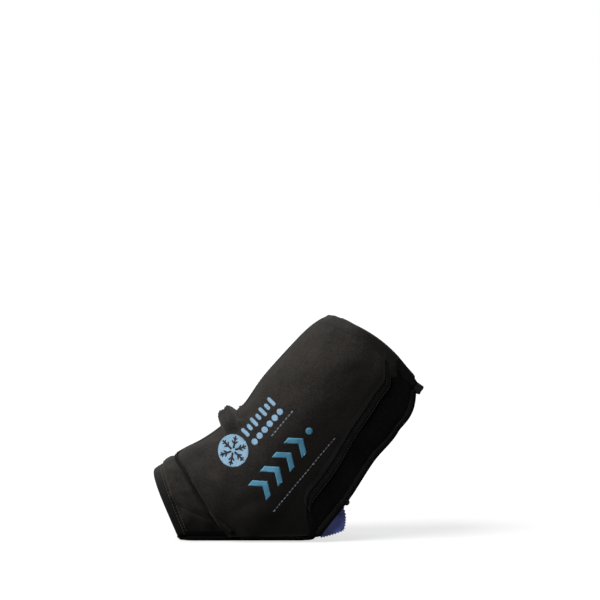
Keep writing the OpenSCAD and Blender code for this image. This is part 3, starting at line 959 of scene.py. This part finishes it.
def panels(mat):
    """The printed panel, the pad behind the ridge, the ridge, and the lining under them."""
    body = "side_flap"
    s, a = square(lambda v: diagonal_at(v * RIDGE_A), LAST, 118, 0.016, 0, ridge_at, 74, 0.03)
    folds = buckled(flap, s, a, 0.02, 1.5, 3.0) * mix(0.45, 1.0, ease((5.2 - s) / 2.5))
    panel = pillow("printed_panel", flap, s, a, 0, FLAP_T, mat["outer"], body,
                   with_folds(panel_lift, folds), r=2.2)
    declare(panel, ["side_panel", "instep_pleats"])
    s, a = square(3.5, LAST, 64, 0.02, lambda u: ridge_at(u) - 0.012, 1.0, 26, 0.08)
    rear = pillow("rear_pad", flap, s, a, 0.4, FLAP_T, mat["rear"], body,
                  soft_lift(0.9, 26, 3.0, 1.0), r=2.4)
    declare(rear, ["rear_panel", "flap_foam"])
    s, a = square(4.15, 7.74, 110, 0.01,
                  lambda u: ridge_at(u) - 0.044, lambda u: ridge_at(u) + 0.040, 24, 0.12)
    # The band's near-black fabric is partly painted shade.
    band = pillow("ridge_band", flap, s, a, -1.6, 0.6, mat["ridge"], body, ridge_lift)
    declare(band, ["ridge_hem"])
    s, a = square(1.0, LAST, 60, 0.01,
                  0.0, lambda u: mix(0.925, 0.97, np.clip(u - HEEL_LOW, 0, 1)), 44, 0.015)
    liner = pillow("pocket_lining", pocket, s, a, 0, LINER_T, mat["lining"], body,
                   None, soft_lift(0.5, 26, 6.0))
    declare(liner, ["pocket_liner"])
    return panel


def flap_tape(name, s, a, towards, width, plump, material, nodes=(), top=0):
    tape(name, flap, s, a, towards, (top, FLAP_T), width, plump, material, "side_flap", nodes)


def flap_edges(mat):
    line, collar = np.linspace, LAST - 0.001
    flap_tape("near_collar_fold", collar, line(0.0, RIDGE_A + 0.035, 110), "-s", 8.6, 0.55,
              mat["hem"], ["near_collar_hem"])
    flap_tape("near_collar_end", collar, line(RIDGE_A + 0.03, 0.999, 50), "-s", 7.6, 0.35,
              mat["rear_hem"])
    flap_tape("front_edge_tape", line(0.84, 7.85, 110), 0.002, "+a", 5.0, 0.2,
              mat["tape"], ["front_edge_binding"])
    rows = line(0.03, 0.93, 110)
    # The fold's dark fabric is painted shade in the crease along the diagonal edge.
    flap_tape("diagonal_edge_fold", diagonal_at(rows) + 0.004, rows, "+s", 1.8, 0.1,
              mat["crease"], ["diagonal_edge_binding"])
    flap_tape("bottom_edge_fold", line(1.0, HEEL_LOW - 0.02, 60), 0.985, "-a", 5.0, 0.3,
              mat["rear"], ["bottom_hem"], BOTTOM_TUCK)
    flap_tape("heel_edge_tape", line(HEEL_LOW + 0.02, HEEL_HIGH, 40), 0.995, "-a", 3.8, 0.45,
              mat["rear_hem"], ["heel_edge_binding"])
    flap_tape("pocket_mouth_tape", line(HEEL_HIGH + 0.03, 7.86, 70), 0.995, "-a", 4.0, 0.4,
              mat["rear_hem"], ["pocket_mouth_binding"])


def lay(tree, points, normals, rise=0.1, reach=13.0):
    """Points moved along their normals onto a finished mesh."""
    out = []
    for p, n in zip(points, normals):
        start = Vector(((p + n * reach) * MM).tolist())
        hit = tree.ray_cast(start, Vector((-n).tolist()), 2 * reach * MM)
        out.append(np.array(hit[0]) / MM + n * rise if hit[0] is not None else p)
    return np.array(out), normals


def flap_seams(mat, tree):
    """Stitch rows, laid on the finished panel."""
    def row(s, a, d):
        return lay(tree, *surface_frame(flap, s, a, d)[:2])

    n = 200
    collar = np.linspace(0.02, RIDGE_A + 0.03, n)
    below = flap(LAST - 0.2, collar, 0.0) - flap(LAST - 0.1, collar, 0.0)
    station = np.linalg.norm(below, axis=1) / 0.1      # one station's length just below the collar
    ridge = np.linspace(4.3, 7.66, n)
    light = [row(LAST - 7.2 / station, collar, -1.2)]
    light += [row(ridge, ridge_at(ridge) + off, -2.4) for off in (-0.001, 0.036)]
    stitches("flap_stitches", light, mat["thread"], "side_flap")
    diagonal = np.linspace(0.03, 0.92, n)
    shin = np.linspace(1.2, 7.7, n)
    width = np.linalg.norm(flap(shin, 0.02, 0.0) - flap(shin, 0.0, 0.0), axis=1) / 0.02
    dark = [row(diagonal_at(diagonal) + 0.13, diagonal, -1.0),
            row(np.linspace(4.1, 4.95, 40), 0.965, -1.2),
            row(np.linspace(5.1, 7.8, 100), 0.972, -1.2),
            row(shin, 4.0 / width, -1.0)]
    stitches("flap_edge_stitches", dark, mat["thread_dark"], "side_flap")


def mesh_tree(*objects):
    """What rays are cast at: these pieces' faces."""
    verts, faces = [], []
    for o in objects:
        base = len(verts)
        verts += [v.co.copy() for v in o.data.vertices]
        faces += [[base + k for k in f.vertices] for f in o.data.polygons]
    return BVHTree.FromPolygons(verts, faces)


def wedge_lift(s, a, core, e):
    return 1.0 * ease(e / 5) + 0.3 * ease(e / 3) * fractal(core, 7, 9.0, 2)


def corner_fold(mat):
    """The wedge of folded fabric where the collar's hem turns down into the ridge."""
    s, a = square(lambda v: mix(7.40, 7.66, v), 7.86, 26, 0.06,
                  lambda u: ridge_at(u) - 0.03, lambda u: ridge_at(u) + 0.12, 30, 0.06)
    wedge = pillow("corner_wedge", flap, s, a, -1.2, 0.5, mat["hem"], "side_flap", wedge_lift, r=3.5)
    declare(wedge, [])


def small_flap_parts(mat):
    body = "side_flap"
    s, a = square(5.4, 7.4, 24, 0.02, 0.03, 0.17, 10, 0.05)
    top = FLAP_T + LINER_T + 0.35
    hooks = pillow("front_hook_tape", flap, s, a, top, top + 1.0, mat["hook"], body)
    declare(hooks, ["front_hook_strip"])
    low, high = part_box("pull_tab")
    corner = np.array([low.x, low.z]) / MM
    loop = corner + [[-3, 11.8], [0.6, 12.2], [6.6, 8.0], [6.0, 5.8], [4.0, 3.6], [3.2, 1.2], [-3, 3]]
    padded_plate("pull_loop", round_corners(loop, 0.9), (low.y + high.y) / 2 / MM, 1.35, 0.9, 0.6,
                 mat["web"], body, ["pull_tab"])
    nub = back_line(np.array([HEEL_HIGH]))[0] + [[-4, -2], [0.5, -3.6], [2.6, -1.2], [1.4, 3.0], [-3, 3.6]]
    padded_plate("heel_tape_end", round_corners(nub, 1.0), -FLAP_Y + 1.6, 1.5, 1.0, 0.8,
                 mat["web"], body)


def padded_plate(name, outline, y, half, rim, step, material, body, nodes=()):
    """A flat upright piece of webbing with round edges, between y - half and y + half."""
    flat, tris, dist = fill([outline], step)
    h = half * round_rim(dist, rim, 0.02)
    plate = closed_plate(tris, upright(flat, y - h), upright(flat, y + h))
    declare(finish_mesh(name, *plate, material, body), nodes)


# ---------------------------------------------------------------- printed graphics

PRINT_TURN = math.radians(50)
PRINT_RIGHT = np.array([math.cos(PRINT_TURN), math.sin(PRINT_TURN)])
PRINT_UP = np.array([-math.sin(PRINT_TURN), math.cos(PRINT_TURN)])
INK_OUT, INK_IN = 0.16, 0.12       # how far the ink stands out of the panel and reaches into it
RAY_START = -0.12                  # in metres, well outside the near side


def placed(points, origin):
    """Points of the print's own plane as [x, z]; its first axis climbs towards the collar."""
    p = np.asarray(points, float)
    return np.asarray(origin) + p[:, :1] * PRINT_RIGHT + p[:, 1:] * PRINT_UP


def disc(cx, cy, r, n=40):
    turns = [2 * math.pi * i / n for i in range(n)]
    return [[cx + r * math.cos(t), cy + r * math.sin(t)] for t in turns]


def bar(x0, y0, x1, y1, width, n=6):
    """A round-ended bar."""
    p, q = np.array([x0, y0], float), np.array([x1, y1], float)
    way = unit(q - p)
    side = np.array([-way[1], way[0]]) * width / 2
    turns = np.linspace(-math.pi / 2, math.pi / 2, n)
    end = [q + way * math.cos(t) * width / 2 + side * math.sin(t) for t in turns]
    start = [p - way * math.cos(t) * width / 2 - side * math.sin(t) for t in turns]
    return end + start


def snowflake(r, arm=1.5):
    """Six separate arms with two pairs of twigs each, as closed outlines round the centre."""
    loops = []
    for k in range(6):
        t = math.pi / 3 * k + math.pi / 6
        way = np.array([math.cos(t), math.sin(t)])
        side = np.array([-way[1], way[0]])
        pts = [(0.14, -0.5), (0.42, -0.5), (0.60, -1.9), (0.66, -1.3), (0.56, -0.5), (0.70, -0.5),
               (0.82, -1.5), (0.87, -0.9), (0.80, -0.45), (0.95, -0.4)]
        pts = pts + [(x, -y) for x, y in pts[::-1]]
        loops.append([way * x * r + side * y * arm for x, y in pts])
    return loops


def chevron(x, height, stroke, reach):
    h = height / 2
    return [[x, -h], [x + stroke, -h], [x + stroke + reach, 0], [x + stroke, h], [x, h], [x + reach, 0]]


def decal(name, loops, origin, tree, material, step=0.9):
    """Print laid on the panel's outside, where a ray from the near side meets it."""
    flat, tris, _ = fill([placed(loop, origin) for loop in loops], step)
    front, back = [], []
    for x, z in flat:
        start = Vector((x * MM, RAY_START, z * MM))
        point, normal, _, _ = tree.ray_cast(start, Vector((0, 1, 0)), -RAY_START)
        p, n = np.array(point) / MM, np.array(normal)
        front.append(p + n * INK_OUT)
        back.append(p - n * INK_IN)
    plate = closed_plate(tris, np.array(front), np.array(back))
    declare(finish_mesh(name, *plate, material, "side_flap"))


def row_of(shape, count, pitch):
    """One shape, drawn count times; shape takes its place along the row."""
    return [shape(i * pitch) for i in range(count)]


def graphics(mat, tree):
    """Generic shapes in place of the maker's print."""
    tall, short = 2.7, 1.3
    bars = [bar(i * 5.7, -h, i * 5.7, h, 3.3) for i, h in enumerate([tall, short] * 3 + [tall])]
    dots = row_of(lambda x: disc(x, 0, 2.75, 22), 6, 6.6)
    dashes = row_of(lambda x: bar(x, 0, x + 1.5, 0, 1.3), 8, 3.6)
    chevrons = row_of(lambda x: chevron(x, 20, 6.0, 7.5), 4, 15.5) + [disc(68, 0, 3.0, 24)]
    long_dashes = row_of(lambda x: bar(x, 0, x + 1.5, 0, 1.1), 24, 3.4)
    decal("emblem", [disc(0, 0, 13)] + snowflake(12.4), (-45.8, 76.6), tree, mat["pale"])
    decal("upper_row", bars, (-35.6, 91.6), tree, mat["pale"])
    decal("middle_row", dots, (-27.6, 84.6), tree, mat["pale"])
    decal("small_row", dashes, (-13.0, 90.0), tree, mat["grey"], 0.8)
    decal("cold_chevrons", chevrons, (-25.5, 42.0), tree, mat["blue"], 1.1)
    decal("dash_line", long_dashes, (-11.5, 26.5), tree, mat["grey"], 0.8)


# ---------------------------------------------------------------- boot and strap


def far_side(mat):
    body, full, line = "boot", (0, FAR_T), np.linspace
    s, v = square(0.0, LAST, 100, 0.01, 0, 1, 70, 0.02)
    folds = buckled(far, s, v, 0.02, 1.4, 7.0)
    shell = pillow("far_shell", far, s, v, 0, FAR_SHELL_T, mat["far"], body,
                   with_folds(soft_lift(1.0, 38, 11.0), folds), r=2.6)
    declare(shell, ["far_outer_panel", "far_foam"])
    s, v = square(0.04, LAST - 0.03, 60, 0.01, 0.005, 0.995, 44, 0.02)
    liner = pillow("far_lining", far, s, v, FAR_SHELL_T + 0.1, FAR_T + 0.2, mat["lining"], body,
                   None, soft_lift(0.5, 20, 12.0))
    declare(liner, ["far_liner"])
    tape("far_collar_fold", far, LAST - 0.001, line(0.0, 0.999, 100), "-s", full, 6.8, 0.55,
         mat["far_hem"], body, ["far_collar_hem"])
    tape("far_heel_tape", far, line(HEEL_LOW + 0.05, HEEL_HIGH, 40), 0.998, "-a", full, 4.5, 0.4,
         mat["far_hem"], body, ["far_heel_binding"])
    tape("far_front_tape", far, line(2.3, 7.86, 80), 0.002, "+a", full, 4.6, 0.3,
         mat["tape"], body)
    tape("far_foot_tape", far, line(0.1, HEEL_LOW - 0.05, 60), 0.995, "-a", full, 4.0, 0.3,
         mat["rear"], body)


def boot_near(s, psi, d):
    return boot(s, psi, d, -1)


def wing(mat):
    """The part that runs on round the calf and lies inside the side flap."""
    body, full = "boot", (0, WING_T)
    low = HEEL_HIGH + 0.04
    s, psi = square(low, LAST, 50, 0.02, 84, 179.9, 40, 0.02)
    pad = pillow("calf_wing", boot_near, s, psi, 0, 2.5, mat["rear"], body, None, soft_lift(0.4, 20, 14.0))
    declare(pad, ["rear_wing_outer"])
    s, psi = square(low + 0.03, LAST - 0.03, 36, 0.02, 85, 179.7, 30, 0.02)
    lining = pillow("calf_wing_lining", boot_near, s, psi, 2.6, WING_T, mat["lining"], body, None,
                    soft_lift(0.4, 18, 15.0))
    declare(lining, ["rear_wing_lining"])
    tape("calf_wing_tape", boot_near, np.linspace(low + 0.02, LAST - 0.02, 70), 84.0, "+a", full, 4.0, 0.2,
         mat["tape"], body, ["wing_edge_binding"])
    psi = np.concatenate([np.linspace(86, 178, 60), np.linspace(178.4, 179.96, 12)])
    tape("calf_wing_collar", boot_near, LAST - 0.002, psi, "-s", full, 6.0, 0.2,
         mat["far_hem"], body)

    def calf(u, v, d):
        u, v, d = spread(u, v, d)
        return np.where((v < 180)[..., None], boot(u, v, d, 1), boot(u, 360 - v, d, -1))
    s, psi = square(HEEL_HIGH + 0.1, LAST - 0.3, 50, 0.02, 167, 193, 14, 0.1)
    seam = pillow("calf_seam_tape", calf, s, psi, -HEM - 0.1, -0.3, mat["tape"], body,
                  soft_lift(0.2, 10, 16.0))
    declare(seam, ["back_seam_tape"])


def sole(mat):
    """The sole: a stitched pad with its lining on top."""
    low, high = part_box("sole_outer")
    x0, y0, x1, y1 = low.x / MM, low.y / MM, high.x / MM, high.y / MM

    def plate(name, z0, z1, inset, material, rim, lump):
        a, b, c, d = x0 + inset, y0 + inset, x1 - inset, y1 - inset
        outline = [[a, b], [c, b], [c, d], [a, d]]
        flat, tris, dist = fill([round_corners(outline, 16, 9)], 2.6)
        half = (z1 - z0) / 2 * round_rim(dist, rim, 0.02)
        top, bottom = (np.column_stack([flat, (z0 + z1) / 2 + h]) for h in (half, -half))
        top[:, 2] += lump * ease(dist / 8) * (fractal(top, 22, 21.0, 2) - 0.5)
        return finish_mesh(name, *closed_plate(tris, top, bottom), material, "boot")

    pad = plate("sole_pad", 0.05, SOLE_T - LINER_T, 0, mat["rear"], 2.2, 0.0)
    declare(pad, ["sole_outer", "sole_foam"])
    lining = plate("sole_lining", SOLE_T - LINER_T, SOLE_T, 3.0, mat["lining"], 1.2, 0.5)
    declare(lining, ["sole_liner"])


def strap_end_at(psi):
    """How far back the strap runs under the flap: further over the instep than at the side."""
    return STRAP_BACK + 0.46 * ease((psi + 75) / 30)


STRAP_CREASES = [
    ([[-97, 33], [-80, 23.5], [-69, 19.6], [-56, 14]], 2.6, 2.0),
    ([[-93, 58], [-86, 46], [-76, 34]], 0.9, 3.2),
    ([[-92, 16], [-80, 12], [-64, 7]], 1.0, 3.0),
]


def strap_lift(s, a, core, e):
    """How far the strap stands out: its puffed middle, creases and slow unevenness."""
    away = ease(e / 9)
    side = ease((-a - 35) / 30)
    edge = mix(0.775, 0.79 + 0.18 * np.abs(np.clip(a + 90, -90, 90) / 90) ** 1.5, side)
    puff = 3.2 * ease((s - 0.14) / 0.3) * ease((edge - s) / mix(0.06, 0.12, side)) * ease((a + 165) / 60)
    top = 3.6 * (1 - side) * ease((s - 0.22) / 0.42) * ease((edge - s) / 0.06) * ease((70 - a) / 40)
    out = puff + top + 0.5 * away + 0.6 * away * fractal(core, 26, 31.0, 3)
    return out + sum(fold(core, *crease) for crease in STRAP_CREASES) * (core[..., 1] < 0)


def strap(mat):
    body, line = "boot", np.linspace

    def back(v):
        return strap_end_at(mix(-180, STRAP_TURN, v))
    s, psi = square(0.0, back, 56, 0.02, -180, STRAP_TURN, 190, 0.006)
    folds = buckled(boot_round, s, psi, 0.03, 0.8, 5.0)
    band = pillow("midfoot_strap", boot_round, s, psi, 0, 2.0, mat["strap"], body,
                  with_folds(strap_lift, folds))
    declare(band, ["instep_strap"])
    s, psi = square(0.05, lambda v: back(v) - 0.03, 20, 0.04, -179, STRAP_TURN, 60, 0.01)
    lining = pillow("midfoot_strap_lining", boot_round, s, psi, 2.1, STRAP_T + 0.2, mat["lining"], body)
    declare(lining, ["strap_lining"])
    hem = tape("foot_opening_fold", boot_round, 0.002, line(-179, STRAP_TURN, 120), "+s", (0, STRAP_T),
               7.4, 0.7, mat["front_hem"], body, ["foot_opening_hem"])
    tape("far_foot_opening_fold", far, 0.002, line(0.36, 0.998, 60), "+s", (0, FAR_T), 6.0, 0.3,
         mat["front_hem"], body)
    tape("strap_foot_tape", boot_round, line(0.02, 1.0, 30), -179.4, "+a", (0, STRAP_T), 4.0, 0.4,
         mat["rear"], body)
    tree = mesh_tree(band, hem)
    psi = line(-168, STRAP_TURN - 2, 220)
    station = np.linalg.norm(boot_round(0.1, psi, 0.0) - boot_round(0.0, psi, 0.0), axis=1) / 0.1
    rows = [lay(tree, *surface_frame(boot_round, mm / station, psi, 0.0)[:2], 0.1, 6.0)
            for mm in (6.0, 8.6)]
    stitches("strap_stitches", rows, mat["thread_tan"], body)


def strap_tail(mat):
    body = "strap_tail"
    s, psi = square(0.08, 1.0, 30, 0.03, STRAP_TURN + 0.8, 92, 40, 0.02)
    tongue = pillow("strap_tongue", boot, s, psi, 0, STRAP_T, mat["strap"], body,
                    soft_lift(0.7, 20, 41.0, 0.8))
    declare(tongue, ["strap_end"])
    tape("strap_tongue_tape", boot, np.linspace(0.1, 0.98, 40), 92.5, "-a", (0, STRAP_T), 4.0, 0.3,
         mat["tape"], body, ["strap_end_binding"])
    s, psi = square(0.2, 0.9, 20, 0.03, 56, 88, 20, 0.04)
    pad = pillow("strap_hook_tape", boot, s, psi, STRAP_T + 0.3, STRAP_T + 1.2, mat["hook"], body)
    declare(pad, ["strap_hook_pad"])
    low, high, last = 0.17, 0.91, 88
    run, end = np.linspace(STRAP_TURN + 4, last, 50), np.linspace(low, high, 40)
    rows = [surface_frame(boot, s, psi, 0.0)[:2] for s, psi in ((low, run), (high, run), (end, last))]
    stitches("strap_tongue_stitches", [(p + n * 0.5, n) for p, n in rows], mat["thread"], body)


def fixings(mat):
    """The loop tapes and the blank label."""
    for name, grid, depths, look, node in (
        ("shin_loop_tape", (5.2, 7.5, 24, 0.02, -18, 2, 12, 0.05),
         (-1.25, -0.25), "loop", "front_loop_patch"),
        ("strap_loop_tape", (0.2, 0.95, 20, 0.02, 52, 92, 16, 0.04),
         (FAR_STEP - 1.25, FAR_STEP - 0.3), "loop", "strap_loop_patch"),
        ("plain_label", (6.6, 7.1, 8, 0.05, 118, 132, 10, 0.05),
         (FAR_T + 0.5, FAR_T + 1.0), "label", "care_label"),
    ):
        declare(pillow(name, boot, *square(*grid), *depths, mat[look], "boot"), [node])


# ---------------------------------------------------------------- gel pack

# The pack's corners, each [x, z]. Only those at the heel show in the photo.
PACK = [[-20, 12], [23, 12], [28.6, 2.4], [47.8, 8.4], [49.8, 20], [47, 31], [79, 90], [88, 112],
        [14, 112], [3, 100], [-18, 72], [-34, 48]]
PINKED = (2, 3, 4)        # the sides after these corners are cut with pinking shears
TOOTH, TOOTH_DEPTH = 2.3, 1.1
WELD = 5.5                # width of the welded rim
PACK_HALF = 3.7
RIM_HALF = 0.55


def pack_outline():
    out = []
    for i, p in enumerate(PACK):
        p, q = np.array(p, float), np.array(PACK[(i + 1) % len(PACK)], float)
        if i in PINKED:
            n = int(np.linalg.norm(q - p) / TOOTH)
            way = unit(q - p)
            side = np.array([way[1], -way[0]])
            for k in range(2 * n):
                bulge = 0.5 * math.sin(math.pi * k / (2 * n))
                out.append(mix(p, q, k / (2 * n)) + side * (bulge - TOOTH_DEPTH * (k % 2)))
        else:
            out.append(p)
    return np.array(out)


def gel_pack(mat):
    low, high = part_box("pack_film")
    middle = (low.y + high.y) / 2 / MM
    flat, tris, dist = fill([pack_outline()], 1.5)
    core = upright(flat, middle)
    swell = (PACK_HALF - 1.0) * ease((dist - WELD) / 9) ** 0.8
    near_weld = bell((dist - WELD - 2) / 3.5)
    puckers = 0.8 * near_weld * fractal(core, 6, 51.0, 2)
    puckers += 0.6 * ease((dist - WELD) / 8) * fractal(core, 18, 52.0, 3)
    groove = -0.22 * bell((dist - WELD) / 0.6) - 0.15 * bell((dist - 2.6) / 0.5)
    wave = 1.0 * np.exp(-dist / 6) * fractal(core, 9, 53.0, 2)
    half = np.clip(RIM_HALF + swell + groove, 0.3, PACK_HALF - 0.6) + np.clip(puckers, -0.5, 0.5)
    y = middle + wave
    plate = closed_plate(tris, upright(flat, y - half), upright(flat, y + half))
    pouch = finish_mesh("cold_pouch", *plate, mat["vinyl"], "gel_pack")
    declare(pouch, ["pack_film", "pack_rim", "pack_gel"])


MOUTH = [[24, 9.5], [44, 33], [75.5, 92], [83.5, 118]]      # the pocket's open edge
SEWN = [[83.5, 118], [11, 118], [-1.5, 104.5], [-23.5, 75.5], [-41, 47], [-26, 9.5], [24, 9.5]]
POCKET_OVER = -37.4       # the cover's y where it lies over the pack
COVER_T = 0.7
COVER_HEM = 1.1           # how much thicker it is at the mouth


def pack_pocket(mat):
    """The pocket's inner side: sewn to the lining on three sides, with the pack between them."""
    flat, tris, _ = fill([MOUTH + SEWN[1:-1]], 2.2)
    s, a = square(1.0, LAST, 90, 0, 0.0, 0.94, 60, 0)
    under = pocket(s, a, LINER_T).reshape(-1, 3)
    gap = (flat[:, None, 0] - under[None, :, 0]) ** 2 + (flat[:, None, 1] - under[None, :, 2]) ** 2
    floor = under[np.argmin(gap, 1), 1] + 0.6
    sewn, mouth = near_line(flat, SEWN)[0], near_line(flat, MOUTH)[0]
    level = mix(np.minimum(floor, POCKET_OVER), POCKET_OVER, ease(sewn / 4.5)) - COVER_T / 2
    level += 0.35 * ease(sewn / 12) * fractal(upright(flat, POCKET_OVER), 16, 61.0, 3)
    thick = COVER_T + COVER_HEM * bell(mouth / 1.6) * ease(sewn / 4.5)
    plate = closed_plate(tris, upright(flat, level), upright(flat, level + thick))
    cover = finish_mesh("pocket_cover", *plate, mat["lining"], "side_flap")
    declare(cover)


# ---------------------------------------------------------------- folds across the joints


def joint_folds(mat):
    """Fabric that joins the moving parts; it is not attached to any of them."""
    sole_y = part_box("sole_outer")[0].y / MM
    hinge = np.array([j["pos_m"] for j in frame["record"]["behaviour"]["joints"]
                      if j["name"] == "side_flap_open"][0]) / MM

    def strip(x, a, d):
        x, a, d = spread(x, a, d)
        y = mix(sole_y + 1.2, hinge[1] - 0.4, a)
        z = 1.9 + 1.1 * ease(a) + d
        return np.stack([x, y, z], -1)
    x, a = square(-40, 21, 40, 0.02, 0, 1, 14, 0.06)
    hinge_fold = pillow("flap_hinge_fold", strip, x, a, -0.8, 0.8, mat["rear"], None)
    declare(hinge_fold)
    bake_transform(hinge_fold)
    s, psi = square(0.1, 0.98, 30, 0.02, STRAP_TURN - 5, STRAP_TURN + 7, 14, 0.06)
    turn = pillow("strap_turn_fold", boot, s, psi, -0.7, 0.8, mat["strap"], None)
    declare(turn)
    ends = [boot(0.5, STRAP_TURN + k, 0.0, 1)[0] * MM for k in (-1.5, 4.0)]
    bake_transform(turn)


def main():
    camera()
    stage()
    mat = materials()
    panel = panels(mat)
    flap_edges(mat)
    corner_fold(mat)
    raised = [bpy.data.objects[n] for n in ("ridge_band", "near_collar_fold", "rear_pad")]
    flap_seams(mat, mesh_tree(panel, *raised))
    graphics(mat, mesh_tree(panel))
    small_flap_parts(mat)
    far_side(mat)
    wing(mat)
    sole(mat)
    strap(mat)
    strap_tail(mat)
    fixings(mat)
    gel_pack(mat)
    pack_pocket(mat)
    joint_folds(mat)


main()
